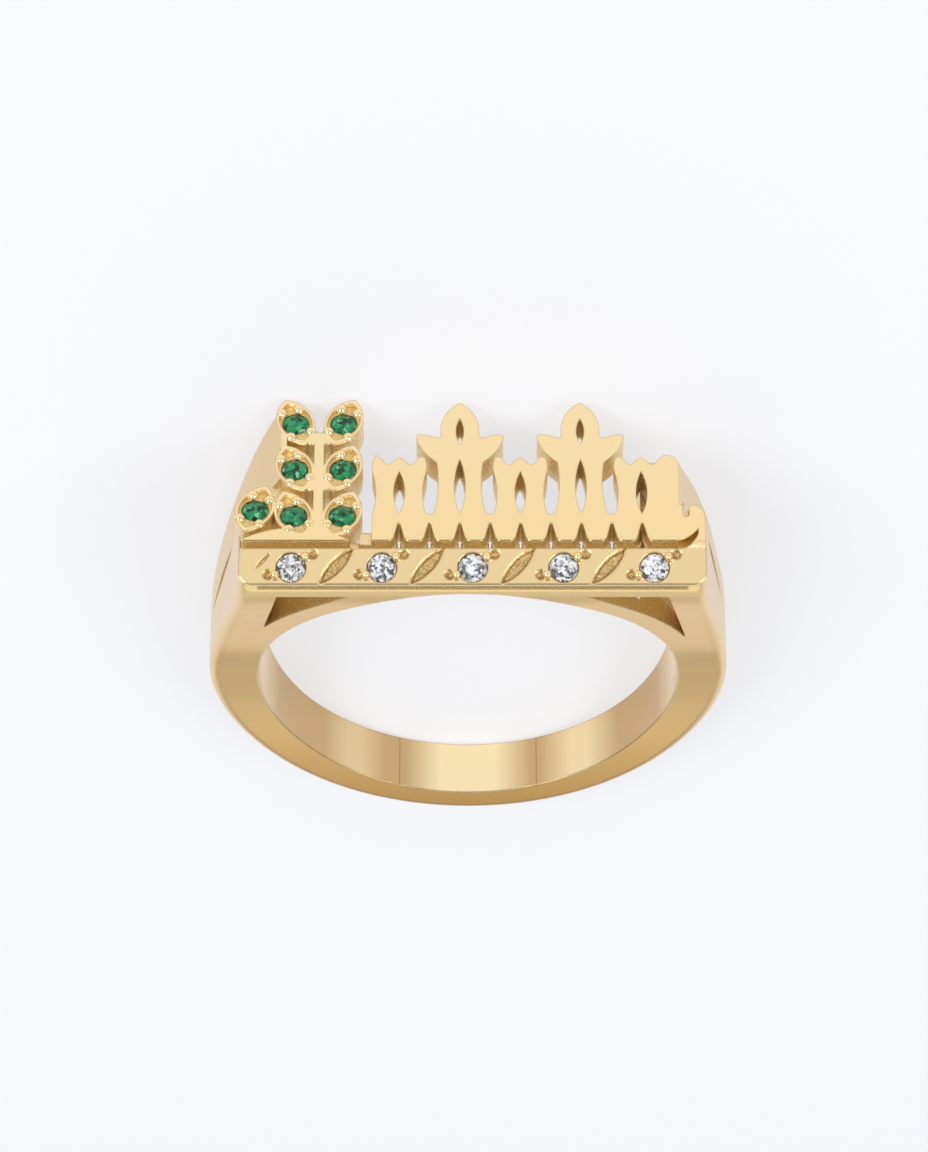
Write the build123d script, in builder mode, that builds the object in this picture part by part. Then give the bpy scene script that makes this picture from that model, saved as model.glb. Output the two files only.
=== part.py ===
"""A cast gold ring: a tapering band that splits into shoulders, a stone-set bar along the
front of the head, and behind the bar a pierced ornament of a gem-set sprig and a frieze.

The ring is built upright, with X across the head, -Y towards the bar and Z up through the
head, and the finger's axis along Y through the origin. At the end every piece is laid down
together on the ring's back side, as the ring rests by itself.
"""

import math
import os
from collections import namedtuple

from build123d import *

os.makedirs("parts", exist_ok=True)

# Finger hole and band
bore_radius = 8.65
band_bottom_thickness = 1.30
band_side_thickness = 2.03
band_bottom_width = 2.56
band_side_width = 3.98
band_edge_radius = 0.50

# Head
head_rise = 1.65
head_shift = 0.19
plate_thickness = 1.20
relief_depth = 0.60
front_depth = 4.80
front_wall_thickness = 1.45
hollow_half_width = 6.75
left_shoulder_top = 7.71
right_shoulder_top = 8.28
left_shoulder_margin = 0.22
right_shoulder_merge = 0.20

# Stone-set bar
bar_length = 18.58
bar_wall_height = 0.75
bar_face_width = 1.466
bar_face_tilt = 30.0
lip_height = 0.12
lip_reach = 0.08
groove_width = 0.28
ridge_width = 0.28
ridge_height = 2.10
ridge_corner_radius = 0.50
groove_end_radius = 0.80
trim_foot_height = 6.5

# Triangular windows in the front wall, over an arched rail
rail_thickness = 1.00
window_top_x = 7.85
window_side_lean = 10.0
window_drop = 0.26
window_depth = 2.35

# Slits that split the shoulders
slit_bottom_height = 2.0
slit_top_height = 8.6
slit_width = 0.85
slit_depth = 1.60

# Frieze of blades behind the bar
frieze_left = -3.85
blade_pitch = 1.215
blade_gap = 0.25
low_height = 4.49
tall_height = 7.30
slot_floor_height = 1.38
notch_height = 1.10
notch_width = 0.62
foot_corner_radius = 0.22
notch_corner_radius = 0.05
slot_corner_radius = 0.14
tip_corner_radius = 0.15
eye_width = 0.45
low_eye_length = 2.25
tall_eye_length = 2.90
petal_reach = 1.78
petal_eye_width = 0.32
petal_eye_length = 1.40
petal_eye_height = 5.75
tail_reach = 1.17
tail_straight = 0.30
tail_rise = 0.70
tail_slot_width = 0.26
tail_slot_length = 1.20
tail_slot_setback = 0.50
motif_count = 5
web_reach = 0.35
web_hole_width = 0.36
web_hole_reach = 0.50

# Gem-set sprig
sprig_x = -6.0
sprig_column_spacing = 1.94
sprig_row_pitch = 2.44
sprig_first_row = 1.37
sprig_rows = 3
leaf_length = 2.55
leaf_width = 1.52
leaf_tilt = 20.0
side_leaf_x = -8.52
side_leaf_row = 1.66
calyx_width = 1.30
calyx_height = 0.62
stem_width = 0.40
mound_left = -9.10
mound_right = -4.72
mound_height = 0.66
milled_depth = 0.14
milled_border = 0.12
link_width = 0.50
link_height = 0.62

# Stones
green_diameter = 1.05
white_diameter = 1.16
white_pitch = 3.62
white_count = 5
white_drop = 0.06
seat_clearance = 0.02
green_rise = 0.13
white_rise = 0.09
drill_radius = 0.20

# Shares of a cut stone's diameter
table_share = 0.56
crown_share = 0.15
girdle_share = 0.04
pavilion_share = 0.42
facet_count = 8

# Beads, pits and cuts beside the stones
bead_diameter = 0.46
bar_bead_diameter = 0.38
pit_diameter = 0.42
pit_depth = 0.16
gouge_length = 2.10
gouge_width = 0.56
gouge_depth = 0.17
gouge_tilt = 47.0
gouge_taper = 30.0
tick_length = 0.85
tick_width = 0.15
tick_depth = 0.08
tick_setback = 0.92

# How far a piece reaches into its neighbour where they are joined
overlap = 0.02

# Worked out from the sizes above
side_radius = bore_radius + band_side_thickness
bottom_radius = bore_radius + band_bottom_thickness
half_side = band_side_width / 2
half_bottom = band_bottom_width / 2
face_height = bore_radius + head_rise
bed_height = face_height - relief_depth
plate_bottom = face_height - plate_thickness
milled_height = face_height - milled_depth
tilt = math.radians(bar_face_tilt)
bar_front_height = bore_radius + bar_wall_height
bar_back_y = -front_depth + bar_face_width * math.cos(tilt)
slope_top_y = -front_depth + (face_height - bar_front_height) / math.tan(tilt)
base_y = bar_back_y + groove_width
wall_back_y = -front_depth + front_wall_thickness
low_top_y = base_y + low_height
motif_width = 2 * blade_pitch - blade_gap
leaf_reach = leaf_length / 2 * math.cos(math.radians(leaf_tilt))
last_row = sprig_first_row + (sprig_rows - 1) * sprig_row_pitch
stem_height = last_row - leaf_reach + calyx_height / 2
sprig_top_y = base_y + last_row + leaf_reach
frieze_right = frieze_left + motif_count * 2 * blade_pitch - blade_gap
ridge_end_y = bar_back_y + ridge_height
half_bar = bar_length / 2
bar_right = head_shift + half_bar
ridge_left = bar_right - ridge_width
pit_ball_radius = (pit_diameter**2 / 4 + pit_depth**2) / (2 * pit_depth)
whites = [(head_shift + (k - (white_count - 1) / 2) * white_pitch) for k in range(white_count)]
far = 3 * side_radius

# The shoulders' outlines. height is a share of the face height, and lean is the share of the
# way from the band's side radius to the shoulder's half width at the top.
Lean = namedtuple("Lean", "height lean")
front_lean = [
    Lean(0.214, 0.13),
    Lean(0.413, 0.39),
    Lean(0.583, 0.65),
    Lean(0.777, 0.88),
    Lean(1.000, 1.00),
]
left_lean = [
    Lean(0.216, 0.064),
    Lean(0.413, 0.209),
    Lean(0.608, 0.404),
    Lean(0.800, 0.646),
    Lean(0.943, 0.889),
    Lean(1.000, 1.000),
]
right_lean = [
    Lean(0.216, 0.088),
    Lean(0.379, 0.229),
    Lean(0.515, 0.346),
    Lean(0.640, 0.490),
    Lean(0.757, 0.650),
    Lean(0.859, 0.790),
    Lean(1.000, 1.000),
]

# How a side of the ring swells from the band's half width to the depth of its head. height is
# a share of the face height, and swell a share of the whole growth.
Swell = namedtuple("Swell", "height swell")
front_swell = [
    Swell(0.214, 0.167),
    Swell(0.432, 0.431),
    Swell(0.549, 0.584),
    Swell(0.674, 0.765),
    Swell(0.790, 0.912),
    Swell(0.870, 0.978),
    Swell(0.930, 1.000),
]
left_swell = [
    Swell(0.250, 0.250),
    Swell(0.500, 0.500),
    Swell(0.750, 0.760),
    Swell(0.900, 0.930),
    Swell(1.000, 1.000),
]
right_swell = [
    Swell(0.300, -0.100),
    Swell(0.600, 0.010),
    Swell(0.780, 0.250),
    Swell(0.920, 0.800),
    Swell(1.000, 1.000),
]

# Below the finger's axis the band narrows. height is a share of the bottom radius, and width
# the share of the way from the half width at the bottom to that at the side.
Taper = namedtuple("Taper", "height width")
band_taper = [Taper(0.80, 0.0), Taper(0.45, 0.10), Taper(0.20, 0.50), Taper(0.0, 1.0)]

# Half of each motif of the frieze above its foot. reach is a share of the motif's half width,
# height a share of its height. The points are taken three by three: an arc runs from the first
# through the second to the third, and the next arc starts there.
Bend = namedtuple("Bend", "reach height")
tulip_outline = [
    Bend(1.00, 0.29),
    Bend(0.86, 0.52),
    Bend(0.97, 0.78),
    Bend(1.00, 0.90),
    Bend(0.88, 1.00),
    Bend(0.62, 0.94),
    Bend(0.46, 0.86),
    Bend(0.27, 0.91),
    Bend(0.00, 0.985),
]
lily_outline = [
    Bend(0.60, 0.180),
    Bend(0.49, 0.370),
    Bend(0.52, 0.560),
    Bend(0.82, 0.640),
    Bend(1.00, 0.765),
    Bend(0.66, 0.755),
    Bend(0.33, 0.690),
    Bend(0.42, 0.850),
    Bend(0.00, 1.000),
]

# Beads round a green stone, by angle from across its leaf and by distance from its centre as a
# share of the stone's and bead's radii together
Bead = namedtuple("Bead", "angle reach")
green_beads = [Bead(236, 1.00), Bead(304, 1.02), Bead(62, 1.00), Bead(118, 1.02)]

# Beads and pits on the bar beside a white stone, by angle and by share of the radii together
bar_beads = [Bead(204, 0.92), Bead(38, 0.92)]
bar_pits = [Bead(198, 1.22), Bead(31, 1.30)]

# The rings of facets of a cut stone. reach is where a facet's plane meets the girdle's edge, as a
# share of the radius, slope its angle to the table, and up is 1 on the crown, -1 below.
Facets = namedtuple("Facets", "count turn slope reach up")
facet_rings = [
    Facets(facet_count, 0.0, 34.0, 1.00, 1),
    Facets(facet_count, 180 / facet_count, 27.0, 1.06, 1),
    Facets(2 * facet_count, 90 / facet_count, 42.0, 0.99, 1),
    Facets(facet_count, 0.0, 41.0, 1.00, -1),
    Facets(2 * facet_count, 90 / facet_count, 43.0, 0.99, -1),
]

# The quarters of the ring's blank. side is 1 at the right, back is 1 behind the finger's axis,
# top is the half width of the head there and depth how far it reaches forward or back.
Quarter = namedtuple("Quarter", "side back leans top swells depth")
quarters = [
    Quarter(-1, -1, front_lean, half_bar, front_swell, front_depth),
    Quarter(1, -1, front_lean, half_bar, front_swell, front_depth),
    Quarter(-1, 1, left_lean, left_shoulder_top, left_swell, sprig_top_y),
    Quarter(1, 1, right_lean, right_shoulder_top, right_swell, low_top_y),
]


def heading(first, second):
    """The direction from one point to another."""
    length = math.dist(first, second)
    return ((second[0] - first[0]) / length, (second[1] - first[1]) / length)


def arm_profile(side, leans, shoulder_top):
    """Half of the ring's outline seen along the finger, filled in to the middle."""
    arm_points = [
        (
            side_radius + step.lean * (shoulder_top - side_radius) + side * head_shift * step.height,
            step.height * face_height,
        )
        for step in leans
    ]
    with BuildSketch(Plane.XZ) as profile:
        with BuildLine():
            belly = EllipticalCenterArc(
                (0, 0), side_radius, bottom_radius, start_angle=270, arc_size=90
            )
            arm = Spline(
                belly @ 1,
                *arm_points,
                tangents=[(0, 1), heading(arm_points[-2], arm_points[-1])],
            )
            Polyline(arm @ 1, (0, face_height), belly @ 0)
        make_face()
    return profile.sketch


def band_quarter(row):
    """A quarter of the ring's blank with its outer rim rounded and the finger hole not yet cut.
    It is made at the right and back, then mirrored to its place."""
    taper_points = [
        (half_bottom + step.width * (half_side - half_bottom), -step.height * bottom_radius)
        for step in band_taper
    ]
    swell_points = [
        (half_side + step.swell * (row.depth - half_side), step.height * face_height)
        for step in row.swells
    ]
    top_heading = heading(swell_points[-2], swell_points[-1]) if row.back > 0 else (0, 1)
    with BuildPart() as quarter:
        extrude(arm_profile(row.side, row.leans, row.top), amount=far, both=True)
        with BuildSketch(Plane.YZ):
            with BuildLine():
                edge = Spline(*taper_points, *swell_points, tangents=[(0, 1), top_heading])
                wall_top = [((edge @ 1).X, face_height)] if row.back < 0 else []
                Polyline(
                    edge @ 1,
                    *wall_top,
                    (0, face_height),
                    (0, -2 * bottom_radius),
                    (half_bottom, -2 * bottom_radius),
                    edge @ 0,
                )
            make_face()
        extrude(amount=far, both=True, mode=Mode.INTERSECT)
        rim = [
            edge
            for edge in quarter.edges().filter_by(GeomType.BSPLINE)
            if edge.center().X > half_bottom and edge.center().Y > half_bottom / 2
        ]
        fillet(rim, band_edge_radius)
    shape = quarter.part
    if row.side < 0:
        shape = mirror(shape, about=Plane.YZ)
    if row.back < 0:
        shape = mirror(shape, about=Plane.XZ)
    return shape


def front_arm_trim(row):
    """What is cut off the top of a front arm, so that behind the bar's end the shoulder follows
    the outline of the back arm that row gives."""
    with BuildPart() as cutter:
        with BuildSketch(Plane.YZ.offset(bore_radius / 2)):
            with BuildLine():
                Polyline(
                    (ridge_end_y, 2 * face_height),
                    (ridge_end_y, face_height),
                    (0, trim_foot_height),
                    (0, 2 * face_height),
                    close=True,
                )
            make_face()
        extrude(amount=far)
        extrude(
            arm_profile(row.side, row.leans, row.top), amount=far, both=True, mode=Mode.SUBTRACT
        )
    shape = cutter.part
    return mirror(shape, about=Plane.YZ) if row.side < 0 else shape


def ridge_corner():
    """What is cut off to round the far corner of the bar's raised end."""
    with BuildPart() as cutter:
        with BuildSketch(Plane.XY.offset(plate_bottom)):
            with Locations((bar_right, ridge_end_y)):
                Rectangle(2 * ridge_corner_radius, 2 * ridge_corner_radius)
            with Locations((bar_right - ridge_corner_radius, ridge_end_y - ridge_corner_radius)):
                Circle(ridge_corner_radius, mode=Mode.SUBTRACT)
        extrude(amount=far)
    return cutter.part


def lens(length, width, rotation=0.0):
    """A pointed leaf shape of two arcs, standing along Y, turned by rotation."""
    with BuildSketch() as outline:
        with BuildLine():
            right = ThreePointArc((0, -length / 2), (width / 2, 0), (0, length / 2))
            ThreePointArc(right @ 1, (-width / 2, 0), right @ 0)
        make_face()
    return outline.sketch.rotate(Axis.Z, rotation)


def sprig_leaves():
    """Place, tilt and stone of every leaf of the sprig, as (x, y, rotation)."""
    leaves = []
    for row in range(sprig_rows):
        y = base_y + sprig_first_row + row * sprig_row_pitch
        for side in (-1, 1):
            leaves.append((sprig_x + side * sprig_column_spacing / 2, y, -side * leaf_tilt))
    leaves.append((side_leaf_x, base_y + side_leaf_row, -leaf_tilt))
    return leaves


def motif_outline(x, bends, reach, height):
    """A motif of the frieze above its foot, the same on both sides of x."""
    points = [(bend.reach * reach, bend.height * height) for bend in bends]
    with BuildSketch() as motif:
        with BuildLine():
            for k in range(0, len(points) - 1, 2):
                for side in (-1, 1):
                    ThreePointArc(*((x + side * px, base_y + py) for px, py in points[k : k + 3]))
            width, height = points[0]
            Line((x - width, base_y + height), (x + width, base_y + height))
        make_face()
    return motif.sketch


def corners(outline, low, high):
    """The corners of an outline between two heights above the frieze's base line, without those
    at the frieze's ends."""
    return [
        corner
        for corner in outline.vertices().filter_by_position(Axis.Y, base_y + low, base_y + high)
        if frieze_left < corner.X - blade_gap and corner.X + blade_gap < frieze_right
    ]


def frieze_outline():
    """The frieze seen from above: joined feet with notches between them, tulips and taller
    lilies by turns, and every corner rounded."""
    with BuildSketch(Plane.XY.offset(plate_bottom)) as frieze:
        with Locations((frieze_left, base_y)):
            Rectangle(frieze_right - frieze_left, slot_floor_height, align=(Align.MIN, Align.MIN))
        for k in range(motif_count):
            if k % 2:
                add(motif_outline(motif_x(k), lily_outline, petal_reach, tall_height))
            else:
                add(motif_outline(motif_x(k), tulip_outline, motif_width / 2, low_height))
        for k in range(2 * motif_count - 1):
            add(wedge(k, notch_width, notch_height), mode=Mode.SUBTRACT)
        fillet(corners(frieze, -overlap, overlap), foot_corner_radius)
        fillet(corners(frieze, notch_height - overlap, notch_height + overlap), notch_corner_radius)
        floor = slot_floor_height
        fillet(corners(frieze, floor - overlap, floor + overlap), slot_corner_radius)
        fillet(corners(frieze, low_height / 2, 2 * tall_height), tip_corner_radius)
        add(tail_outline())
    return frieze.sketch


def wedge(k, width, height):
    """A narrow triangle at the frieze's foot number k, from the bar's back up."""
    x = motif_x(0) + k * blade_pitch
    with BuildSketch() as triangle:
        with BuildLine():
            Polyline(
                (x - width / 2, bar_back_y),
                (x, base_y + height),
                (x + width / 2, bar_back_y),
                close=True,
            )
        make_face()
    return triangle.sketch


def tail_outline():
    """The small curl that ends the frieze at the right and runs into the bar's raised end."""
    left = frieze_right - right_shoulder_merge
    right = frieze_right + tail_reach
    top_y = ridge_end_y + overlap
    with BuildSketch() as tail:
        with BuildLine():
            foot = Line((left, base_y), (frieze_right + tail_straight, base_y))
            bow = RadiusArc(foot @ 1, (right, base_y + tail_rise), -tail_reach)
            Polyline(bow @ 1, (right, top_y), (left, top_y), foot @ 0)
        make_face()
    return tail.sketch


def motif_x(k):
    """The middle of the frieze's motif k."""
    return frieze_left + motif_width / 2 + k * 2 * blade_pitch


def sprig_outline():
    """The gem-set sprig seen from above: a stem with its leaves in pairs, and a side leaf, all
    growing from a low mound."""
    with BuildSketch(Plane.XY.offset(plate_bottom)) as sprig:
        for x, y, rotation in sprig_leaves():
            with Locations((x, y)):
                add(lens(leaf_length, leaf_width, rotation))
        for row in range(sprig_rows):
            y = base_y + sprig_first_row + row * sprig_row_pitch - leaf_reach + calyx_height / 2
            with Locations((sprig_x, y)):
                Ellipse(calyx_width / 2, calyx_height / 2)
        with Locations((sprig_x, base_y)):
            Rectangle(stem_width, stem_height, align=(Align.CENTER, Align.MIN))
        with BuildLine():
            ground = Line((mound_left, base_y), (mound_right, base_y))
            ThreePointArc(ground @ 1, (ground @ 0.5) + Vector(0, mound_height), ground @ 0)
        make_face()
    return sprig.sketch


def stone_places():
    """Name, diameter and seat plane of every stone. The plane's origin is the middle of the
    table, and its Z axis stands up from the table."""
    places = []
    for k, (x, y, _) in enumerate(sprig_leaves(), start=1):
        plane = Plane((x, y, milled_height + green_rise), x_dir=(1, 0, 0), z_dir=(0, 0, 1))
        places.append((f"green_stone_{k}", green_diameter, plane))
    for k, x in enumerate(whites, start=1):
        places.append((f"white_stone_{k}", white_diameter, bar_plane(x, -white_drop, white_rise)))
    return places


def spots(stone_diameter, spot_diameter, rows, turn=0.0):
    """Where beads or pits sit round a stone, from its middle in the plane of its table. turn is
    added to their angles."""
    reach = (stone_diameter + spot_diameter) / 2
    return [
        (
            row.reach * reach * math.cos(math.radians(row.angle + turn)),
            row.reach * reach * math.sin(math.radians(row.angle + turn)),
        )
        for row in rows
    ]


def bar_plane(x, up, rise=0.0):
    """A plane on the bar's sloping face, at x along it and up its slope from its middle."""
    middle = bar_face_width / 2 + up
    normal = (0, -math.sin(tilt), math.cos(tilt))
    return Plane(
        (
            x,
            -front_depth + middle * math.cos(tilt) + rise * normal[1],
            bar_front_height + middle * math.sin(tilt) + rise * normal[2],
        ),
        x_dir=(1, 0, 0),
        z_dir=normal,
    )


def seat(diameter, rise):
    """What is cut out of the metal for one stone whose table stands rise above the metal's face,
    from the middle of its table down: above the face a cone that trims the beads to the crown,
    then a round hole as wide as the girdle, a cone under it, and a drilled hole."""
    radius = diameter / 2 + seat_clearance
    crown = crown_share * diameter
    pavilion = pavilion_share * diameter
    girdle = girdle_share * diameter
    table_radius = table_share * diameter / 2 + seat_clearance
    mouth = seat_clearance - rise
    mouth_radius = table_radius + (radius - table_radius) * rise / crown
    with BuildPart() as cutter:
        with BuildSketch(Plane.XZ):
            with BuildLine():
                Polyline(
                    (0, seat_clearance),
                    (table_radius, seat_clearance),
                    (mouth_radius, mouth),
                    (radius, mouth),
                    (radius, -crown - girdle - seat_clearance),
                    (drill_radius, -crown - girdle - pavilion * (1 - drill_radius / radius)),
                    (drill_radius, -far),
                    (0, -far),
                    close=True,
                )
            make_face()
        revolve(axis=Axis.Z)
        with Locations((0, 0, -plate_thickness)):
            Box(far, far, far, align=(Align.CENTER, Align.CENTER, Align.MAX), mode=Mode.SUBTRACT)
    return cutter.part


def brilliant(diameter):
    """A round cut stone: a table, three rings of crown facets, a girdle and two rings of
    pavilion facets. The middle of its table is at the origin."""
    radius = diameter / 2
    crown = crown_share * diameter
    girdle = girdle_share * diameter
    pavilion = pavilion_share * diameter
    with BuildPart() as stone:
        with BuildSketch(Plane.XY):
            RegularPolygon(radius, 2 * facet_count)
        extrude(amount=-(crown + girdle + pavilion))
        for ring in facet_rings:
            edge_height = -crown if ring.up > 0 else -crown - girdle
            for k in range(ring.count):
                azimuth = math.radians(ring.turn + k * 360 / ring.count)
                slope = math.radians(ring.slope)
                normal = (
                    math.sin(slope) * math.cos(azimuth),
                    math.sin(slope) * math.sin(azimuth),
                    ring.up * math.cos(slope),
                )
                at = ring.reach * radius
                point = (at * math.cos(azimuth), at * math.sin(azimuth), edge_height)
                split(bisect_by=Plane(point, z_dir=normal), keep=Keep.BOTTOM)
    return stone.part


def window(side):
    """What is cut out for the triangular window on one side. Its lower edge is the top of the
    arched rail, and it stops inside the shoulder."""
    top = bore_radius - window_drop
    top_x = side * window_top_x + head_shift
    foot_x = top_x + side * top * math.tan(math.radians(window_side_lean))
    with BuildPart() as cutter:
        with BuildSketch(Plane.XZ.offset(front_depth - window_depth)):
            with BuildLine():
                Polyline((0, top), (top_x, top), (foot_x, 0), (0, 0), close=True)
            make_face()
            Circle(bore_radius + rail_thickness, mode=Mode.SUBTRACT)
        extrude(amount=far)
    return cutter.part


def slit(side):
    """What is cut out for the slit that parts the front arm of a shoulder from the back arm."""
    length = slit_top_height - slit_bottom_height
    with BuildPart() as cutter:
        with BuildSketch(Plane.YZ.offset(side * (side_radius - slit_depth))):
            with Locations((0, slit_bottom_height + length / 2)):
                add(lens(length, slit_width))
        extrude(amount=side * far)
    return cutter.part


blank = [band_quarter(row) for row in quarters]
head_cuts = [cut(side) for cut in (window, slit) for side in (-1, 1)]
head_cuts += [front_arm_trim(row) for row in quarters if row.back > 0]
head_cuts.append(ridge_corner())
ornament = [frieze_outline(), sprig_outline()]
web_holes = [wedge(k, web_hole_width, web_hole_reach) for k in range(2 * motif_count - 1)]
seats = {green_diameter: seat(green_diameter, green_rise)}
seats[white_diameter] = seat(white_diameter, white_rise)

with BuildPart() as ring_metal:
    # The band and the solid shoulders
    add(blank)
    Cylinder(bore_radius, 2 * far, rotation=(90, 0, 0), mode=Mode.SUBTRACT)

    # The hollow under the head, behind the front wall
    with BuildSketch(Plane.XY):
        with Locations((head_shift, wall_back_y)):
            Rectangle(2 * hollow_half_width, far, align=(Align.CENTER, Align.MIN))
    extrude(amount=far, mode=Mode.SUBTRACT)

    # The bar's sloping face
    with BuildSketch(Plane.YZ):
        with BuildLine():
            Polyline(
                (-front_depth, bar_front_height),
                (slope_top_y, face_height),
                (slope_top_y, far),
                (-far, far),
                (-far, bar_front_height),
                close=True,
            )
        make_face()
    extrude(amount=far, both=True, mode=Mode.SUBTRACT)

    # The front wall stands back under the lip of the bar's face
    with BuildSketch(Plane.XY.offset(bore_radius)):
        with Locations((0, -front_depth + lip_reach)):
            Rectangle(2 * far, far, align=(Align.CENTER, Align.MAX))
    extrude(amount=bar_front_height - lip_height - bore_radius, mode=Mode.SUBTRACT)

    # The bed that the ornament stands on, with the shoulders' tops left as margins beside it
    left_margin = head_shift - left_shoulder_top + left_shoulder_margin
    right_margin = frieze_right - right_shoulder_merge
    with BuildSketch(Plane.XY.offset(bed_height)):
        with Locations((-far, bar_back_y)):
            Rectangle(far, -bar_back_y, align=(Align.MIN, Align.MIN))
        with Locations((left_margin, bar_back_y)):
            Rectangle(right_margin - left_margin, far, align=(Align.MIN, Align.MIN))
        with Locations((0, bar_back_y)):
            Rectangle(ridge_left, ridge_height, align=(Align.MIN, Align.MIN))
        groove_end = vertices().sort_by_distance((ridge_left, bar_back_y))[0]
        fillet(groove_end, groove_end_radius)
    extrude(amount=far, mode=Mode.SUBTRACT)

    for cut in head_cuts:
        add(cut, mode=Mode.SUBTRACT)

    # The pierced ornament
    add(ornament)
    extrude(amount=plate_thickness)

    # The web at its foot that ties it to the bar, and the small link beside the sprig
    with BuildSketch(Plane.XY.offset(plate_bottom)):
        with Locations((head_shift, wall_back_y - overlap)):
            Rectangle(
                2 * hollow_half_width + 2 * overlap,
                base_y - wall_back_y + web_reach,
                align=(Align.CENTER, Align.MIN),
            )
    extrude(amount=bed_height - plate_bottom)
    with BuildSketch(Plane.XY.offset(plate_bottom)):
        with Locations((frieze_left + overlap, base_y + link_height / 2)):
            Rectangle(link_width, link_height, align=(Align.MAX, Align.CENTER))
    extrude(amount=plate_thickness - relief_depth / 2)

    # Small holes in the web, and eyes in the stems and petals
    with BuildSketch(Plane.XY.offset(plate_bottom)):
        add(web_holes)
        for k in range(motif_count):
            length = low_eye_length if k % 2 == 0 else tall_eye_length
            with Locations((motif_x(k), base_y + slot_floor_height + length / 2)):
                add(lens(length, eye_width))
            if k % 2:
                with Locations((motif_x(k), base_y + petal_eye_height)):
                    add(lens(petal_eye_length, petal_eye_width))
    extrude(amount=far, mode=Mode.SUBTRACT)
    with BuildSketch(Plane.XY.offset(bed_height)):
        with Locations((frieze_right + tail_reach - tail_slot_setback, ridge_end_y)):
            SlotOverall(tail_slot_length, tail_slot_width, rotation=90)
    extrude(amount=far, mode=Mode.SUBTRACT)

    # Milled ground on the leaves, with beads left standing on it
    with BuildSketch(Plane.XY.offset(milled_height)):
        for x, y, rotation in sprig_leaves():
            with Locations((x, y)):
                add(lens(leaf_length - 4 * milled_border, leaf_width - 2 * milled_border, rotation))
    extrude(amount=far, mode=Mode.SUBTRACT)
    for x, y, rotation in sprig_leaves():
        for across, up in spots(green_diameter, bead_diameter, green_beads, rotation):
            with Locations((x + across, y + up, milled_height)):
                Sphere(bead_diameter / 2)

    # Pits and beads beside the white stones, and gouges between them
    for x in whites:
        for across, up in spots(white_diameter, pit_diameter, bar_pits):
            ball_rise = pit_ball_radius - pit_depth
            with Locations(bar_plane(x + across, up - white_drop, ball_rise).location):
                Sphere(pit_ball_radius, mode=Mode.SUBTRACT)
        for across, up in spots(white_diameter, bar_bead_diameter, bar_beads):
            with Locations(bar_plane(x + across, up - white_drop).location):
                Sphere(bar_bead_diameter / 2)
    for x, next_x in zip(whites, whites[1:]):
        with BuildSketch(bar_plane((x + next_x) / 2, 0)):
            add(lens(gouge_length, gouge_width, gouge_tilt - 90))
        extrude(amount=-gouge_depth, taper=gouge_taper, mode=Mode.SUBTRACT)

    # A short cut at the bar's left end
    with BuildSketch(bar_plane(head_shift - half_bar + tick_setback, pit_diameter / 2)):
        add(lens(tick_length, tick_width, gouge_tilt - 90))
    extrude(amount=-tick_depth, mode=Mode.SUBTRACT)

    for _, diameter, plane in stone_places():
        add(seats[diameter].moved(plane.location), mode=Mode.SUBTRACT)

ring_metal.part.label = "ring_metal"

# The ring rests on its back side, on the sprig's tips and the bottom of the band. The head comes
# towards -Y and the bar's side up.
rest_rise = math.degrees(
    math.atan2(sprig_top_y - half_bottom, plate_bottom + bottom_radius - band_edge_radius)
)


def lay_down(shape):
    """A piece turned from the upright ring into the ring at rest."""
    return shape.rotate(Axis.X, -90).rotate(Axis.Z, 180).rotate(Axis.X, -rest_rise)


rest_box = lay_down(ring_metal.part).bounding_box()
to_origin = Location((-rest_box.center().X, -rest_box.center().Y, -rest_box.min.Z))


def write_piece(shape, name):
    """Lays a finished piece down and writes it."""
    resting = lay_down(shape).moved(to_origin)
    resting.label = name
    export_step(resting, f"parts/{name}.step")


write_piece(ring_metal.part, "ring_metal")
cut_stones = {diameter: brilliant(diameter) for diameter in (green_diameter, white_diameter)}
for name, diameter, plane in stone_places():
    write_piece(cut_stones[diameter].moved(plane.location), name)
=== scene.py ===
"""A yellow gold ring at rest on its back side, with its green and white stones.

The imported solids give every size. This script dresses them: polished, satin and as-cast gold, cut
stones, a pale floor, soft studio light and the camera.
"""

import logging
import math
from dataclasses import dataclass, field
from enum import Enum
from typing import Any, Sequence, Union

import bmesh
import bpy
from mathutils import Matrix, Vector

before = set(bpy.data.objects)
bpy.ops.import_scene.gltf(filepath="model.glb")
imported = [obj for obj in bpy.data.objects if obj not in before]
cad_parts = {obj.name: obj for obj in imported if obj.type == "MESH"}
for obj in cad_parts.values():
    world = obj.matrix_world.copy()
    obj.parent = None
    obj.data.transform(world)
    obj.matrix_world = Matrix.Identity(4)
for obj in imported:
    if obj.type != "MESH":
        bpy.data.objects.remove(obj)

LOG = logging.getLogger("ring")
MM = 0.001

# The Mix node's sockets for numbers and for colours share their names, so they go by number
NUMBER_INPUTS = (2, 3)
COLOUR_INPUTS = (6, 7)
COLOUR_OUTPUT = 2

Colour = tuple[float, float, float]
Number = Union[float, "Wire"]
Paint = Union[Colour, "Wire"]


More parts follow.
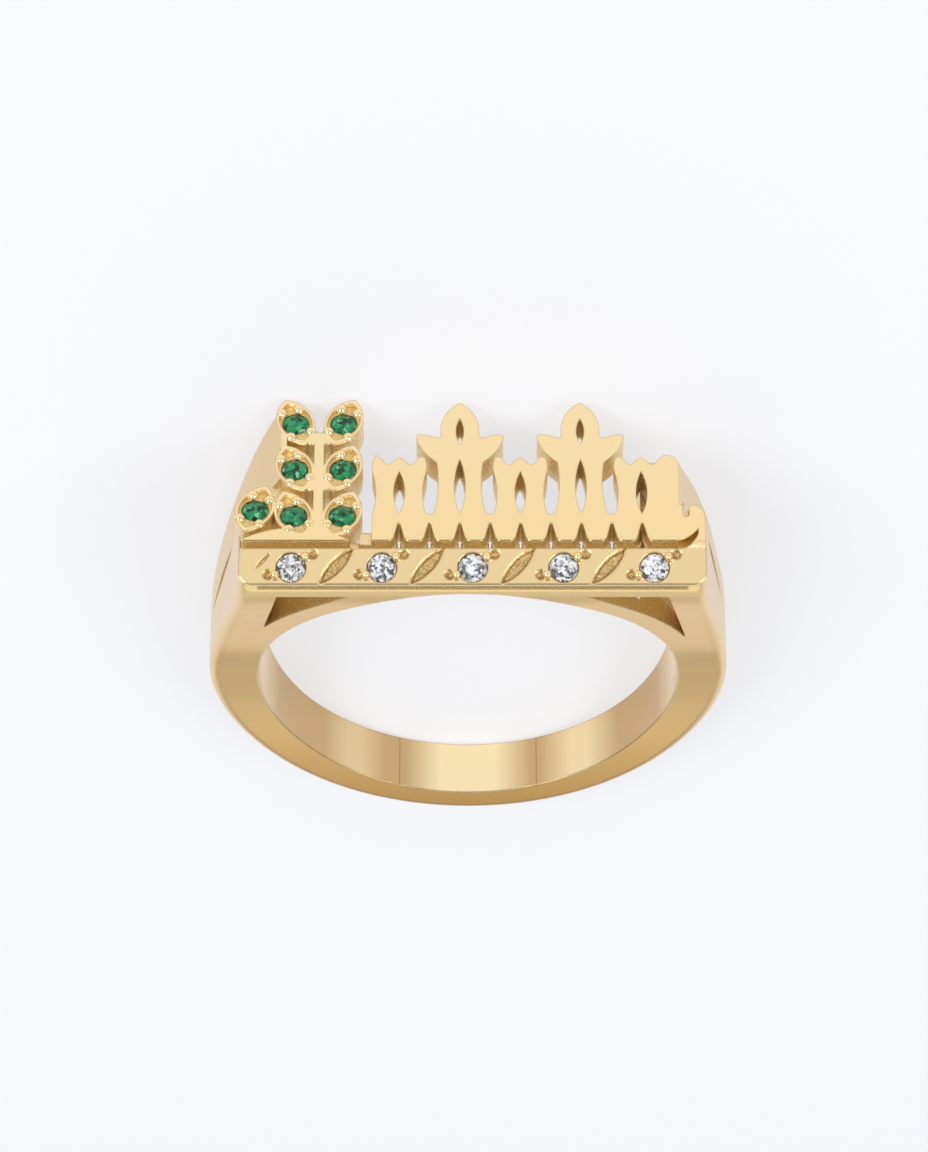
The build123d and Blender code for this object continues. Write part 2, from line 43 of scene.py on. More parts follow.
@dataclass(frozen=True)
class RingPose:
    """How the ring lies: where its upright frame, in millimetres, sits in the scene's metres.

    In the upright frame X runs along the bar, -Y is the ring's front and Z goes up through the
    head, with the finger's axis along Y through the origin. At rest the ring lies on its back side
    and leans by rest_lean degrees, so that the band's edge and the ornament's tips touch the floor.
    """

    rest_lean: float = 8.938733
    centre_y: float = 0.445084
    centre_z: float = 2.733180

    def turn(self) -> Matrix:
        """The turn from the upright ring to the ring at rest, as a 3 by 3 matrix."""
        lean = Matrix.Rotation(-math.radians(self.rest_lean), 3, "X")
        return lean @ Matrix.Rotation(math.pi, 3, "Z") @ Matrix.Rotation(-math.pi / 2, 3, "X")

    def centre(self) -> Vector:
        """The upright frame's origin in the scene's frame, in millimetres."""
        return Vector((0.0, self.centre_y, self.centre_z))

    def matrix(self) -> Matrix:
        """From upright metres to the scene."""
        return Matrix.Translation(self.centre() * MM) @ self.turn().to_4x4()


POSE = RingPose()


@dataclass(frozen=True)
class Edge:
    """Where a mask turns over, and the width of its ramp, in the unit of what it is read from."""

    at: float
    soft: float


@dataclass(frozen=True)
class Span:
    """Where a mask begins and ends, and the width of both ramps."""

    low: float
    high: float
    soft: float


@dataclass(frozen=True)
class Noise:
    """The settings of a noise over a point."""

    scale: float
    detail: float
    roughness: float = 0.5


class Wire:
    """A socket of a shader tree that takes part in Python expressions."""

    def __init__(self, bench: "Bench", socket: bpy.types.NodeSocket) -> None:
        """Wraps a socket.

        Args:
            bench: The tree that the socket is in.
            socket: An output socket.
        """
        self.bench = bench
        self.socket = socket

    def _maths(self, operation: str, *terms: Number, clamp: bool = False) -> "Wire":
        """One Math node over terms."""
        settings = {"operation": operation, "use_clamp": clamp}
        return self.bench.node("ShaderNodeMath", settings, dict(enumerate(terms)))

    def __add__(self, other: Number) -> "Wire":
        """Sum."""
        return self._maths("ADD", self, other)

    def __radd__(self, other: Number) -> "Wire":
        """Sum, with the value first."""
        return self._maths("ADD", other, self)

    def __sub__(self, other: Number) -> "Wire":
        """Difference."""
        return self._maths("SUBTRACT", self, other)

    def __rsub__(self, other: Number) -> "Wire":
        """Difference, with the value first."""
        return self._maths("SUBTRACT", other, self)

    def __mul__(self, other: Number) -> "Wire":
        """Product."""
        return self._maths("MULTIPLY", self, other)

    def __rmul__(self, other: Number) -> "Wire":
        """Product, with the value first."""
        return self._maths("MULTIPLY", other, self)

    def __truediv__(self, other: Number) -> "Wire":
        """Quotient."""
        return self._maths("DIVIDE", self, other)

    def __rtruediv__(self, other: Number) -> "Wire":
        """Quotient, with the value first."""
        return self._maths("DIVIDE", other, self)

    def __abs__(self) -> "Wire":
        """Size without sign."""
        return self._maths("ABSOLUTE", self)

    def root(self) -> "Wire":
        """Square root."""
        return self._maths("SQRT", self)

    def above(self, edge: Edge) -> "Wire":
        """0 below an edge and 1 above it, with the edge's ramp between them."""
        return self._maths("ADD", (self - edge.at) / edge.soft, 0.5, clamp=True)

    def below(self, edge: Edge) -> "Wire":
        """1 below an edge and 0 above it, with the edge's ramp between them."""
        return 1.0 - self.above(edge)

    def within(self, span: Span) -> "Wire":
        """1 inside a span and 0 outside."""
        return self.above(Edge(span.low, span.soft)) * self.below(Edge(span.high, span.soft))

    def either(self, other: Number) -> "Wire":
        """The larger of two masks."""
        return self._maths("MAXIMUM", self, other)


@dataclass(frozen=True)
class Place:
    """What a shader knows of a point on the ring, in the upright frame.

    Lengths are in millimetres, and reach is the distance from the finger's axis.
    """

    point: Wire
    x: Wire
    y: Wire
    z: Wire
    reach: Wire
    normal: Wire
    normal_x: Wire
    normal_y: Wire
    normal_z: Wire


class Bench:
    """The node tree of a material or of the air, and the one method that adds a node to it."""

    def __init__(self, owner: Union[bpy.types.Material, bpy.types.World]) -> None:
        """Empties the tree of its owner.

        Args:
            owner: The material or the world that the tree belongs to.
        """
        self.owner = owner
        self.owner.use_nodes = True
        self.tree = self.owner.node_tree
        self.tree.nodes.clear()

    def node(
        self,
        kind: str,
        settings: dict[str, Any] | None = None,
        values: dict[Any, Any] | None = None,
        output: Union[str, int] = 0,
    ) -> Wire:
        """Adds a node.

        Args:
            kind: The node's type.
            settings: Its settings, which are set before its sockets.
            values: A value or a Wire for each input socket, by name or number.
            output: The output that is returned.

        Returns:
            The chosen output.
        """
        added = self.tree.nodes.new(kind)
        for key, value in (settings or {}).items():
            setattr(added, key, value)
        for key, value in (values or {}).items():
            if isinstance(value, Wire):
                self.tree.links.new(value.socket, added.inputs[key])
            else:
                added.inputs[key].default_value = value
        return Wire(self, added.outputs[output])

    def mix(self, factor: Wire, first: Paint, second: Paint) -> Wire:
        """A colour between two colours, each a Wire or linear red, green and blue."""
        colours = [part if isinstance(part, Wire) else (*part, 1.0) for part in (first, second)]
        values = {"Factor": factor, **dict(zip(COLOUR_INPUTS, colours))}
        return self.node("ShaderNodeMix", {"data_type": "RGBA"}, values, output=COLOUR_OUTPUT)

    def blend(self, factor: Wire, first: Number, second: Number) -> Wire:
        """A number between two numbers."""
        values = {"Factor": factor, **dict(zip(NUMBER_INPUTS, (first, second)))}
        return self.node("ShaderNodeMix", {"data_type": "FLOAT"}, values)

    def noise(self, at: Wire, noise: Noise) -> Wire:
        """A noise over a point."""
        values = {
            "Vector": at,
            "Scale": noise.scale,
            "Detail": noise.detail,
            "Roughness": noise.roughness,
        }
        return self.node("ShaderNodeTexNoise", {}, values, output="Fac")

    def steps(self, vector: Wire, count: float) -> Wire:
        """A vector rounded to steps of one part in count."""
        values = {0: vector, 1: (1.0 / count,) * 3}
        return self.node("ShaderNodeVectorMath", {"operation": "SNAP"}, values)

    def split(self, vector: Wire) -> tuple[Wire, Wire, Wire]:
        """The three parts of a vector."""
        first = self.node("ShaderNodeSeparateXYZ", {}, {0: vector})
        return tuple(Wire(self, socket) for socket in first.socket.node.outputs)

    def bend(self, rounded: Wire) -> Wire:
        """How far a rounded normal leans from the flat one: 0 on flats and more at edges."""
        flat = self.node("ShaderNodeNewGeometry", output="True Normal")
        values = {0: rounded, 1: flat}
        return 1.0 - self.node(
            "ShaderNodeVectorMath", {"operation": "DOT_PRODUCT"}, values, output="Value"
        )

    def upright(self) -> Place:
        """Reads the shaded point in the upright ring's frame.

        Returns:
            Its place in millimetres, and its normal in the upright frame's directions.
        """
        back = POSE.turn().transposed()
        turned = tuple(back.to_euler("XYZ"))
        seen = self.node("ShaderNodeTexCoord", output="Object")
        point = self.node(
            "ShaderNodeMapping",
            {"vector_type": "POINT"},
            {
                "Vector": seen,
                "Location": -(back @ POSE.centre()),
                "Rotation": turned,
                "Scale": (1 / MM,) * 3,
            },
        )
        facing = Wire(self, seen.socket.node.outputs["Normal"])
        normal = self.node(
            "ShaderNodeMapping", {"vector_type": "VECTOR"}, {"Vector": facing, "Rotation": turned}
        )
        x, y, z = self.split(point)
        reach = (x * x + z * z).root()
        return Place(point, x, y, z, reach, normal, *self.split(normal))

    def close(self, shader: Wire) -> Union[bpy.types.Material, bpy.types.World]:
        """Sends a shader to the output and returns the tree's owner."""
        kind = "Material" if isinstance(self.owner, bpy.types.Material) else "World"
        end = self.tree.nodes.new("ShaderNodeOutput" + kind)
        self.tree.links.new(shader.socket, end.inputs["Surface"])
        return self.owner


@dataclass(frozen=True)
class Zones:
    """Where the gold has which finish, each a mask from 0 to 1."""

    bore: Wire
    polished: Wire
    milled: Wire
    cast: Wire
    cut: Wire

    def rough(self) -> Wire:
        """What no tool has smoothed: the metal as cast and the cuts."""
        return self.cast.either(self.cut)


@dataclass(frozen=True)
class RingPlan:
    """Where the ring's parts begin and end in the upright frame.

    Lengths are in millimetres and shares of a normal in parts of one. Most edges lie a hair inside
    or outside the wall that they take in or leave out.
    """

    middle_x: float = 0.19
    bore_reach: Edge = Edge(8.70, 0.02)
    beyond_bore_reach: Edge = Edge(8.72, 0.03)

    # Polished faces
    ornament_face_z: Edge = Edge(10.25, 0.05)
    bar_low_z: Edge = Edge(9.35, 0.08)
    bar_back_y: Edge = Edge(-3.2, 0.05)

    # Milled grounds in the leaves
    ground_z: Span = Span(10.11, 10.21, 0.03)
    ground_front_y: Edge = Edge(-3.0, 0.1)
    ground_normal_z: Edge = Edge(0.9, 0.1)

    # Inside of the head, up to the ornament's face
    inside_z: Span = Span(0.5, 10.24, 0.02)
    top_normal_z: Edge = Edge(0.9, 0.05)
    top_z: Edge = Edge(10.1, 0.02)
    hollow_half_x: Edge = Edge(6.79, 0.02)
    hollow_front_y: Edge = Edge(-3.37, 0.02)
    bed_z: Edge = Edge(8.9, 0.05)
    bed_front_y: Edge = Edge(-3.545, 0.02)

    # Outer faces at the head's two ends
    left_end_x: Edge = Edge(-7.4, 0.05)
    left_normal_x: Edge = Edge(-0.3, 0.1)
    left_step_z: Edge = Edge(9.68, 0.02)
    left_step_back_y: Edge = Edge(0.0, 0.02)
    left_ledge_normal_z: Edge = Edge(0.5, 0.1)
    left_ledge_z: Edge = Edge(9.6, 0.02)
    right_end_x: Edge = Edge(8.1, 0.05)
    right_normal_x: Edge = Edge(0.25, 0.1)

    # Windows under the bar, and the front wall that they pierce
    window_x: Span = Span(4.0, 9.0, 0.05)
    window_y: Span = Span(-4.78, -2.2, 0.01)
    window_z: Span = Span(3.5, 8.45, 0.05)
    front_normal_y: Edge = Edge(-0.6, 0.1)
    front_y: Edge = Edge(-2.6, 0.02)

    # Pointed slits on the shoulders' outer sides
    slit_x: Edge = Edge(7.4, 0.1)
    slit_z: Span = Span(2.0, 8.6, 0.05)
    slit_middle_z: float = 5.3
    slit_half_length: float = 3.3
    slit_half_width: float = 0.425
    slit_margin: float = 0.012
    slit_soft: float = 0.01

    # Cuts and pits, by their depth under the bar's sloping face
    face_y: float = -4.8
    face_z: float = 9.4
    face_lean: float = 30.0
    cut_depth: Span = Span(-0.5, -0.06, 0.03)
    cut_y: Span = Span(-4.76, -3.56, 0.02)
    cut_z: Edge = Edge(9.0, 0.05)
    cut_half_x: Edge = Edge(8.6, 0.1)

    def zones(self, at: Place) -> Zones:
        """Lays out the finishes.

        Args:
            at: The shaded point.

        Returns:
            The mask of each finish.
        """
        return Zones(
            bore=at.reach.below(self.bore_reach),
            polished=self._polished(at),
            milled=self._milled(at),
            cast=self._head(at).either(self._windows(at)).either(self._slits(at)),
            cut=self._cuts(at),
        )

    def _polished(self, at: Place) -> Wire:
        """The faces of the ornament and of the bar."""
        bar = at.z.above(self.bar_low_z) * at.y.below(self.bar_back_y)
        return at.z.above(self.ornament_face_z).either(bar)

    def _milled(self, at: Place) -> Wire:
        """The grounds around the stones in the leaves."""
        level = at.z.within(self.ground_z) * at.normal_z.above(self.ground_normal_z)
        return level * at.y.above(self.ground_front_y)

    def _head(self, at: Place) -> Wire:
        """The hollow under the head, the bed behind the bar and the ornament's walls.

        Args:
            at: The shaded point.

        Returns:
            Their mask, without the level tops and without the head's outer ends.
        """
        top = at.normal_z.above(self.top_normal_z) * at.z.above(self.top_z)
        inside = at.reach.above(self.beyond_bore_reach) * at.z.within(self.inside_z) * (1.0 - top)
        hollow = abs(at.x - self.middle_x).below(self.hollow_half_x)
        hollow = inside * hollow * at.y.above(self.hollow_front_y)
        bed = inside * at.z.above(self.bed_z) * at.y.above(self.bed_front_y)
        return hollow.either(bed * (1.0 - self._outer_ends(at)))

    def _outer_ends(self, at: Place) -> Wire:
        """The outer faces of the head's left and right ends."""
        step = at.z.above(self.left_step_z) * at.y.below(self.left_step_back_y)
        wall = at.normal_x.below(self.left_normal_x) * (1.0 - step)
        ledge = at.normal_z.above(self.left_ledge_normal_z) * at.z.below(self.left_ledge_z)
        left = at.x.below(self.left_end_x) * wall.either(ledge)
        return left.either(at.x.above(self.right_end_x) * at.normal_x.above(self.right_normal_x))

    def _windows(self, at: Place) -> Wire:
        """The walls inside the windows under the bar."""
        front = at.normal_y.below(self.front_normal_y) * at.y.below(self.front_y)
        box = abs(at.x).within(self.window_x) * at.y.within(self.window_y)
        box = box * at.z.within(self.window_z) * at.reach.above(self.beyond_bore_reach)
        return box * (1.0 - front)

    def _slits(self, at: Place) -> Wire:
        """The walls inside the pointed slits. The mask goes on to the finger hole's wall."""
        far = (at.z - self.slit_middle_z) / self.slit_half_length
        half_width = (1.0 - far * far) * self.slit_half_width + self.slit_margin
        inside = (half_width - abs(at.y)).above(Edge(0.0, self.slit_soft))
        return inside * at.z.within(self.slit_z) * abs(at.x).above(self.slit_x)

    def _cuts(self, at: Place) -> Wire:
        """The slanting cuts and the pits in the bar's face."""
        lean = math.radians(self.face_lean)
        height = (at.z - self.face_z) * math.cos(lean) - (at.y - self.face_y) * math.sin(lean)
        cuts = height.within(self.cut_depth) * at.y.within(self.cut_y) * at.z.above(self.cut_z)
        return cuts * abs(at.x - self.middle_x).below(self.cut_half_x)


@dataclass(frozen=True)
class Patch:
    """A stretch along X with a painted brighter reflection, and how bright it is."""

    span: Span
    share: float


@dataclass(frozen=True)
class BoreFinish:
    """The inside of the band: at the bottom a painted reflection, bright between two thin painted
    dark seam lines, and darker with a brighter patch on either side of them."""

    # Painted reflections: the bright colour, the darker shade at the bottom and the dark seam lines
    bore_bright: Colour = (1.0, 0.82, 0.48)
    bore_shade: Colour = (0.61, 0.41, 0.20)
    seam: Colour = (0.30, 0.19, 0.07)
    bottom_z: Edge = Edge(-2.0, 3.0)
    patches: tuple[Patch, ...] = (
        Patch(Span(-1.9, 1.9, 1.5), 1.0),
        Patch(Span(3.7, 5.7, 1.3), 0.75),
        Patch(Span(-5.6, -4.0, 1.0), 0.45),
    )
    seam_x: float = 2.9
    seam_reflection_width: Span = Span(-0.02, 0.02, 0.03)
    seam_reflection_share: float = 0.8
    buffed_soft: float = 0.15
    dull_roughness: float = 0.16
    buffed_roughness: float = 0.04

    def colour(self, bench: Bench, at: Place) -> Wire:
        """Makes the colour.

        Args:
            bench: The gold's tree.
            at: The shaded point.

        Returns:
            The bore's colour, which is all the bright colour above the bottom, with painted
            reflections at the bottom.
        """
        bottom = at.z.below(self.bottom_z)
        bright = 1.0 - bottom
        for patch in self.patches:
            bright = bright.either(at.x.within(patch.span) * patch.share)
        # Painted dark reflections of two seams, at the bottom
        seam_reflection = (abs(at.x) - self.seam_x).within(self.seam_reflection_width) * bottom
        return bench.mix(
            seam_reflection * self.seam_reflection_share, bench.mix(bright, self.bore_shade, self.bore_bright), self.seam
        )

    def roughness(self, bench: Bench, at: Place) -> Wire:
        """The bore's roughness, least between the seams."""
        between = abs(at.x).below(Edge(self.seam_x, self.buffed_soft))
        return bench.blend(between, self.dull_roughness, self.buffed_roughness)


@dataclass(frozen=True)
class GoldFinish:
    """Yellow gold: polished where it is worn, satin on the band, rough as cast in the gaps."""

    plan: RingPlan = RingPlan()
    bore: BoreFinish = BoreFinish()

    # Polished faces: the first colour is the back's, the second the front's
    polished: Colour = (0.98, 0.77, 0.43)
    warm: Colour = (0.98, 0.74, 0.38)
    warm_y: Edge = Edge(0.0, 5.0)

    # Satin band, with a painted sheen on its flanks and on the wall under the bar, and painted shade
    # on the band's low front
    satin: Colour = (0.76, 0.515, 0.215)
    # Painted sheen: the flanks, lighter than the satin
    flank_sheen: Colour = (0.82, 0.60, 0.31)
    flank_sheen_normal_x: Edge = Edge(0.6, 0.3)
    # Painted sheen: the wall under the bar, lighter than the satin
    wall: Colour = (1.0, 0.72, 0.33)
    wall_sheen_z: Edge = Edge(8.3, 0.6)
    wall_sheen_normal_y: Edge = Edge(-0.9, 0.1)
    # Painted shade: the band's low front, darker than the satin
    low: Colour = (0.52, 0.295, 0.092)
    low_shade_z: Edge = Edge(-6.0, 7.0)
    low_shade_normal_y: Edge = Edge(-0.25, 0.4)

    # Milled grounds, with a speckle between two colours
    ground_dark: Colour = (0.72, 0.47, 0.16)
    ground_light: Colour = (0.86, 0.62, 0.27)
    ground_speckle: Edge = Edge(0.5, 0.3)

    # Cast and cut metal, each between a light and a deep colour
    cast: Colour = (1.0, 0.86, 0.55)
    cast_deep: Colour = (0.84, 0.57, 0.25)
    cast_speckle: Edge = Edge(0.47, 0.12)
    cast_speckle_share: float = 0.8
    cast_blotch: Edge = Edge(0.5, 0.4)
    cut: Colour = (0.76, 0.54, 0.27)
    cut_deep: Colour = (0.42, 0.27, 0.10)
    cut_speckle: Edge = Edge(0.52, 0.2)

    # Edges: normals rounded a little, and a painted dark reflection along them
    edge_round: float = 0.10
    edge_samples: int = 6
    edge_reflection_bend: Edge = Edge(0.10, 0.14)
    edge_reflection_share: float = 0.55
    edge_dark_reflection: Colour = (0.40, 0.25, 0.09)

    # Noises, and how rough and how grained each finish is
    grain: Noise = Noise(11.0, 4.0, 0.65)
    blotch: Noise = Noise(2.2, 3.0)
    haze: Noise = Noise(0.8, 2.0)
    haze_share: float = 0.05
    satin_roughness: float = 0.20
    polished_roughness: float = 0.08
    milled_roughness: float = 0.34
    cast_roughness: float = 0.42
    cast_relief: float = 0.034
    milled_relief_share: float = 0.35

    def build(self) -> bpy.types.Material:
        """Makes the material.

        Returns:
            The gold, with its finishes laid out in the upright ring's frame.
        """
        bench = Bench(bpy.data.materials.new("gold"))
        at = bench.upright()
        zones = self.plan.zones(at)
        grain = bench.noise(at.point, self.grain)
        rounded = bench.node(
            "ShaderNodeBevel", {"samples": self.edge_samples}, {"Radius": self.edge_round * MM}
        )
        # A painted dark reflection along the edges, where the rounded normal leans from the flat one
        edge = bench.bend(rounded).above(self.edge_reflection_bend) * self.edge_reflection_share
        colour = bench.mix(edge, self._colour(bench, at, zones, grain), self.edge_dark_reflection)
        shader = bench.node(
            "ShaderNodeBsdfPrincipled",
            {},
            {
                "Base Color": colour,
                "Metallic": 1.0,
                "Roughness": self._roughness(bench, at, zones),
                "Normal": self._relief(bench, zones, grain, rounded),
            },
        )
        return bench.close(shader)

    def _colour(self, bench: Bench, at: Place, zones: Zones, grain: Wire) -> Wire:
        """Lays the colours of all finishes over each other.

        Args:
            bench: The gold's tree.
            at: The shaded point.
            zones: Where each finish is.
            grain: The fine noise.

        Returns:
            The gold's colour, before the painted dark reflection along its edges.
        """
        face = bench.mix(at.y.below(self.warm_y), self.polished, self.warm)
        ground = bench.mix(grain.above(self.ground_speckle), self.ground_dark, self.ground_light)
        metal = bench.mix(zones.polished, self._band_colour(bench, at), face)
        metal = bench.mix(zones.bore, metal, self.bore.colour(bench, at))
        metal = bench.mix(zones.milled, metal, ground)
        return bench.mix(zones.rough(), metal, self._rough_colour(bench, at, zones, grain))

    def _band_colour(self, bench: Bench, at: Place) -> Wire:
        """The satin band, with a painted sheen on its flanks and on the wall under the bar, and
        painted shade on its low front.
        """
        wall = at.z.above(self.wall_sheen_z) * at.normal_y.below(self.wall_sheen_normal_y)
        low = at.z.below(self.low_shade_z) * at.normal_y.below(self.low_shade_normal_y)
        band = bench.mix(abs(at.normal_x).above(self.flank_sheen_normal_x), self.satin, self.flank_sheen)
        return bench.mix(low, bench.mix(wall, band, self.wall), self.low)

    def _rough_colour(self, bench: Bench, at: Place, zones: Zones, grain: Wire) -> Wire:
        """Cast metal, speckled and blotched, and cut metal, speckled."""
        speckle = grain.below(self.cast_speckle) * self.cast_speckle_share
        blotch = bench.noise(at.point, self.blotch).below(self.cast_blotch)
        spots = speckle + blotch * (1.0 - self.cast_speckle_share)
        cut = bench.mix(grain.below(self.cut_speckle), self.cut, self.cut_deep)
        return bench.mix(zones.cut, bench.mix(spots, self.cast, self.cast_deep), cut)

    def _roughness(self, bench: Bench, at: Place, zones: Zones) -> Wire:
        """The roughness of all finishes, with a faint haze over the smooth ones."""
        haze = bench.noise(at.point, self.haze) * self.haze_share
        smooth = bench.blend(zones.polished, self.satin_roughness, self.polished_roughness)
        smooth = bench.blend(zones.bore, smooth, self.bore.roughness(bench, at))
        smooth = bench.blend(zones.milled, smooth + haze, self.milled_roughness)
        return bench.blend(zones.rough(), smooth, self.cast_roughness)

    def _relief(self, bench: Bench, zones: Zones, grain: Wire, rounded: Wire) -> Wire:
        """The normal: edges rounded, with the casting's grain on rough and milled metal."""
        grained = zones.rough().either(zones.milled * self.milled_relief_share)
        height = grain * grained * self.cast_relief
        return bench.node(
            "ShaderNodeBump", {}, {"Distance": MM, "Height": height, "Normal": rounded}
        )


@dataclass(frozen=True)
class Sparkle:
    """Which spots of a stone get a painted glint: how much the facet and the small patch under it
    count, and from where on their sum is bright."""

    facet_share: float
    patch_share: float
    edge: Edge

    def mask(self, facet: Wire, patch: Wire) -> Wire:
        """1 where facet and patch together are bright enough, and 0 elsewhere."""
        return (facet * self.facet_share + patch * self.patch_share).above(self.edge)


@dataclass(frozen=True)
class GemFinish:
    """A cut stone: clear, tinted and sharply polished, with painted glints in its colour."""

    name: str
    light: Colour
    dark: Colour
    flash: Colour
    patches_per_mm: float
    ior: float
    gloss: float
    clearness: float
    facet_steps: float = 7.0
    lit: Sparkle = Sparkle(0.4, 0.8, Edge(0.5, 0.45))
    flashing: Sparkle = Sparkle(0.45, 0.55, Edge(0.8, 0.06))
    roughness: float = 0.02

    def build(self) -> bpy.types.Material:
        """Makes the material.

        Returns:
            The stone, with painted glints: each facet gets its own share of painted light, and small
                patches of painted light and dark stand for the facets of the underside.
        """
        bench = Bench(bpy.data.materials.new(self.name))
        at = bench.upright()
        facet = bench.node(
            "ShaderNodeTexWhiteNoise",
            {"noise_dimensions": "3D"},
            {"Vector": bench.steps(at.normal, self.facet_steps)},
        )
        cells = bench.node(
            "ShaderNodeTexVoronoi",
            {"feature": "F1"},
            {"Vector": at.point, "Scale": self.patches_per_mm, "Randomness": 1.0},
            output="Color",
        )
        patch = bench.split(cells)[0]
        # Painted light and dark patches, with painted glints laid over them below
        colour = bench.mix(self.lit.mask(facet, patch), self.dark, self.light)
        shader = bench.node(
            "ShaderNodeBsdfPrincipled",
            {},
            {
                "Base Color": bench.mix(self.flashing.mask(facet, patch), colour, self.flash),
                "Roughness": self.roughness,
                "IOR": self.ior,
                "Specular IOR Level": self.gloss,
                "Transmission Weight": self.clearness,
            },
        )
        return bench.close(shader)


@dataclass(frozen=True)
class FloorFinish:
    """A plain pale sheet, lit a little from behind, which keeps the shadows soft."""

    colour: Colour = (0.37, 0.374, 0.386)
    glow: Colour = (0.56, 0.566, 0.588)
    mottle: Noise = Noise(9.0, 3.0)
    mottle_shade: float = 0.985
    roughness: float = 0.6

    def build(self) -> bpy.types.Material:
        """Makes the material.

        Returns:
            The sheet's matt face with a faint mottle.
        """
        bench = Bench(bpy.data.materials.new("floor"))
        at = bench.node("ShaderNodeTexCoord", output="Object")
        darker = tuple(part * self.mottle_shade for part in self.colour)
        shader = bench.node(
            "ShaderNodeBsdfPrincipled",
            {},
            {
                "Base Color": bench.mix(bench.noise(at, self.mottle), self.colour, darker),
                "Roughness": self.roughness,
                "Emission Color": (*self.glow, 1.0),
                "Emission Strength": 1.0,
            },
        )
        return bench.close(shader)


class Stone(Enum):
    """The two kinds of stone, by the start of their nodes' names."""

    GREEN = "green_stone"
    WHITE = "white_stone"


def dress(node: bpy.types.Object, material: bpy.types.Material) -> None:
    """Gives an object one material."""
    node.data.materials.clear()
    node.data.materials.append(material)


@dataclass
class Ring:
    """The ring: its metal and its stones."""

    gold: GoldFinish = field(default_factory=GoldFinish)
    gems: dict[Stone, GemFinish] = field(
        default_factory=lambda: {
            Stone.GREEN: GemFinish(
                name="green_gem",
                light=(0.015, 0.36, 0.13),
                dark=(0.0, 0.035, 0.012),
                flash=(0.34, 0.66, 0.44),
                patches_per_mm=5.0,
                ior=1.58,
                gloss=0.3,
                clearness=0.25,
            ),
            Stone.WHITE: GemFinish(
                name="clear_gem",
                light=(1.0, 1.0, 1.0),
                dark=(0.09, 0.09, 0.10),
                flash=(1.0, 1.0, 1.0),
                patches_per_mm=9.0,
                ior=1.9,
                gloss=0.5,
                clearness=0.15,
            ),
        }
    )

    def build(self) -> list[bpy.types.Object]:
        """Dresses the metal and the stones.

        Returns:
            The dressed pieces.
        """
        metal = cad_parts["ring_metal"]
        dress(metal, self.gold.build())
        dressed = [metal]
        for stone, finish in self.gems.items():
            material = finish.build()
            for name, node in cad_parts.items():
                if name.startswith(stone.value):
                    dress(node, material)
                    dressed.append(node)
        return dressed


@dataclass(frozen=True)
class Tent:
    """The pale surroundings, by direction: X to the side, -Y to the front and Z up.

    They are brighter in front and behind and dimmer at the sides, with a wide dark opening in
    front, high up, and a dark seam over the top.
    """

    colour: Colour = (0.95, 0.97, 1.0)
    strength: float = 0.56
    front_y: Edge = Edge(-0.62, 0.5)
    front_z: Span = Span(0.12, 0.78, 0.25)
    front_gain: float = 0.34
    back_y: Edge = Edge(0.66, 0.4)
    back_z: Span = Span(0.22, 0.8, 0.3)
    back_gain: float = 0.50
    side_x: Edge = Edge(0.65, 0.5)
    side_loss: float = 0.12
    opening_y: float = -0.62
    opening_z: float = 0.785
    opening_reach_squared: Edge = Edge(0.075, 0.03)
    seam_x: Edge = Edge(0.07, 0.05)
    seam_z: Edge = Edge(0.60, 0.15)
    dark_share: float = 0.6

    def build(self) -> bpy.types.World:
        """Makes the surroundings.

        Returns:
            The world that lights the set from all sides.
        """
        bench = Bench(bpy.data.worlds.new("air"))
        x, y, z = bench.split(bench.node("ShaderNodeTexCoord", output="Generated"))
        front = y.below(self.front_y) * z.within(self.front_z)
        back = y.above(self.back_y) * z.within(self.back_z)
        side = abs(x).above(self.side_x)
        glow = front * self.front_gain + back * self.back_gain + self.strength
        glow = glow - side * self.side_loss
        off_y, off_z = y - self.opening_y, z - self.opening_z
        opening = (x * x + off_y * off_y + off_z * off_z).below(self.opening_reach_squared)
        seam = abs(x).below(self.seam_x) * z.above(self.seam_z)
        strength = glow * (1.0 - opening.either(seam) * self.dark_share)
        shader = bench.node(
            "ShaderNodeBackground", {}, {"Color": (*self.colour, 1.0), "Strength": strength}
        )
        return bench.close(shader)


@dataclass(frozen=True)
class Softbox:
    """A square area light that faces the ring. Lengths are in metres, and a glow of 1 is as bright
    as white in the picture."""

    name: str
    place: tuple[float, float, float]
    glow: float
    size: float = 0.22

    def build(self) -> bpy.types.Object:
        """Makes the light.

        Returns:
            The light, turned to the scene's origin.
        """
        data = bpy.data.lights.new(self.name, "AREA")
        data.shape = "SQUARE"
        data.size = self.size
        data.energy = self.glow * math.pi * self.size * self.size
        light = bpy.data.objects.new(self.name, data)
        place = Vector(self.place)
        facing = (-place).to_track_quat("-Z", "Y").to_matrix().to_4x4()
        light.matrix_world = Matrix.Translation(place) @ facing
        bpy.context.scene.collection.objects.link(light)
        return light


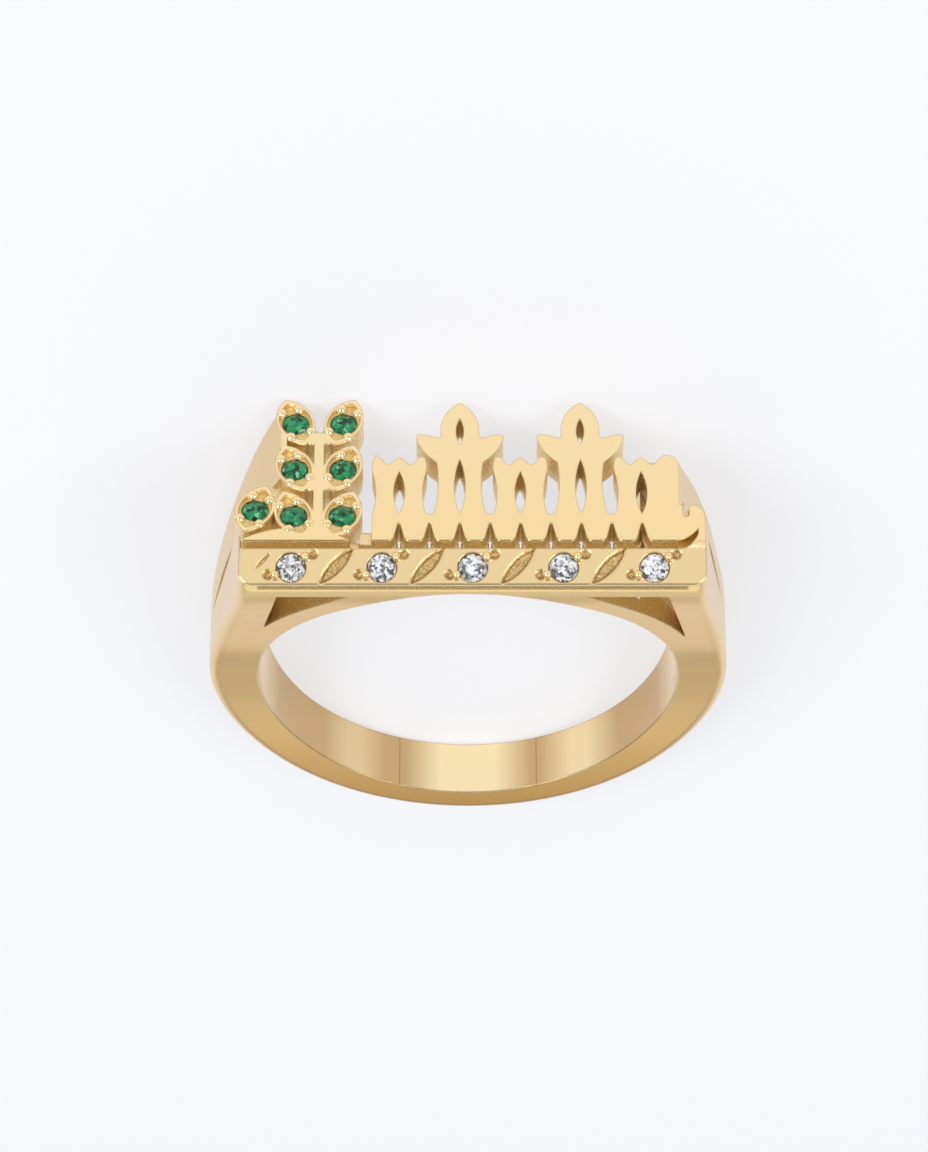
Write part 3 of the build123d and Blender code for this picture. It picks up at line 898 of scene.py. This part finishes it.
@dataclass
class Studio:
    """Floor, soft lights and the pale surroundings."""

    floor_size: float = 4.0
    floor_cells: int = 4
    floor_finish: FloorFinish = field(default_factory=FloorFinish)
    tent: Tent = field(default_factory=Tent)
    keys: tuple[Softbox, ...] = (
        Softbox("left_key", (0.26, -0.24, 0.36), 6.0),
        Softbox("right_key", (-0.28, -0.18, 0.37), 4.2),
    )

    def floor(self) -> bpy.types.Object:
        """Makes the floor that the ring lies on.

        Returns:
            The floor.
        """
        shape = bmesh.new()
        bmesh.ops.create_grid(
            shape, x_segments=self.floor_cells, y_segments=self.floor_cells, size=self.floor_size / 2
        )
        mesh = bpy.data.meshes.new("floor")
        shape.to_mesh(mesh)
        shape.free()
        ground = bpy.data.objects.new("floor", mesh)
        bpy.context.scene.collection.objects.link(ground)
        dress(ground, self.floor_finish.build())
        return ground

    def build(self) -> None:
        """Sets up the floor, the lights and the air, and a plain view of the colours."""
        self.floor()
        for key in self.keys:
            key.build()
        bpy.context.scene.world = self.tent.build()
        view = bpy.context.scene.view_settings
        view.view_transform = "Standard"
        view.look = "None"


@dataclass
class PhotoCamera:
    """The photograph's camera: its angle is kept, and it is rolled to show the ring upright.

    The elevation is in degrees above the finger's axis, the distance in millimetres, the sensor as
    Blender has it, and the clip range in metres.
    """

    elevation: float = 50.85
    distance: float = 250.0
    focal_px: float = 6025.0
    frame_px: tuple[float, float] = (928.0, 1152.0)
    origin_px: tuple[float, float] = (468.0, 640.0)
    sensor: float = 36.0
    clip: tuple[float, float] = (0.01, 20.0)

    def build(self) -> bpy.types.Object:
        """Makes the camera.

        Returns:
            The scene's camera.
        """
        rise = math.radians(self.elevation)
        right = Vector((1.0, 0.0, 0.0))
        up = Vector((0.0, math.sin(rise), math.cos(rise)))
        towards = Vector((0.0, -math.cos(rise), math.sin(rise)))
        facing = Matrix((right, up, towards)).transposed().to_4x4()
        place = Matrix.Translation(towards * self.distance * MM)
        longest = max(self.frame_px)
        data = bpy.data.cameras.new("camera")
        data.sensor_width = self.sensor
        data.sensor_fit = "AUTO"
        data.lens = self.focal_px / longest * self.sensor
        data.shift_x = (self.frame_px[0] / 2 - self.origin_px[0]) / longest
        data.shift_y = (self.origin_px[1] - self.frame_px[1] / 2) / longest
        data.clip_start, data.clip_end = self.clip
        camera = bpy.data.objects.new("camera", data)
        camera.matrix_world = POSE.matrix() @ place @ facing
        bpy.context.scene.collection.objects.link(camera)
        bpy.context.scene.camera = camera
        return camera


def main() -> None:
    """Builds the scene in order and reports each piece."""
    logging.basicConfig(level=logging.INFO)
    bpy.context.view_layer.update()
    PhotoCamera().build()
    for piece in Ring().build():
        LOG.info("dressed %s", piece.name)
    Studio().build()


if __name__ == "__main__":
    main()
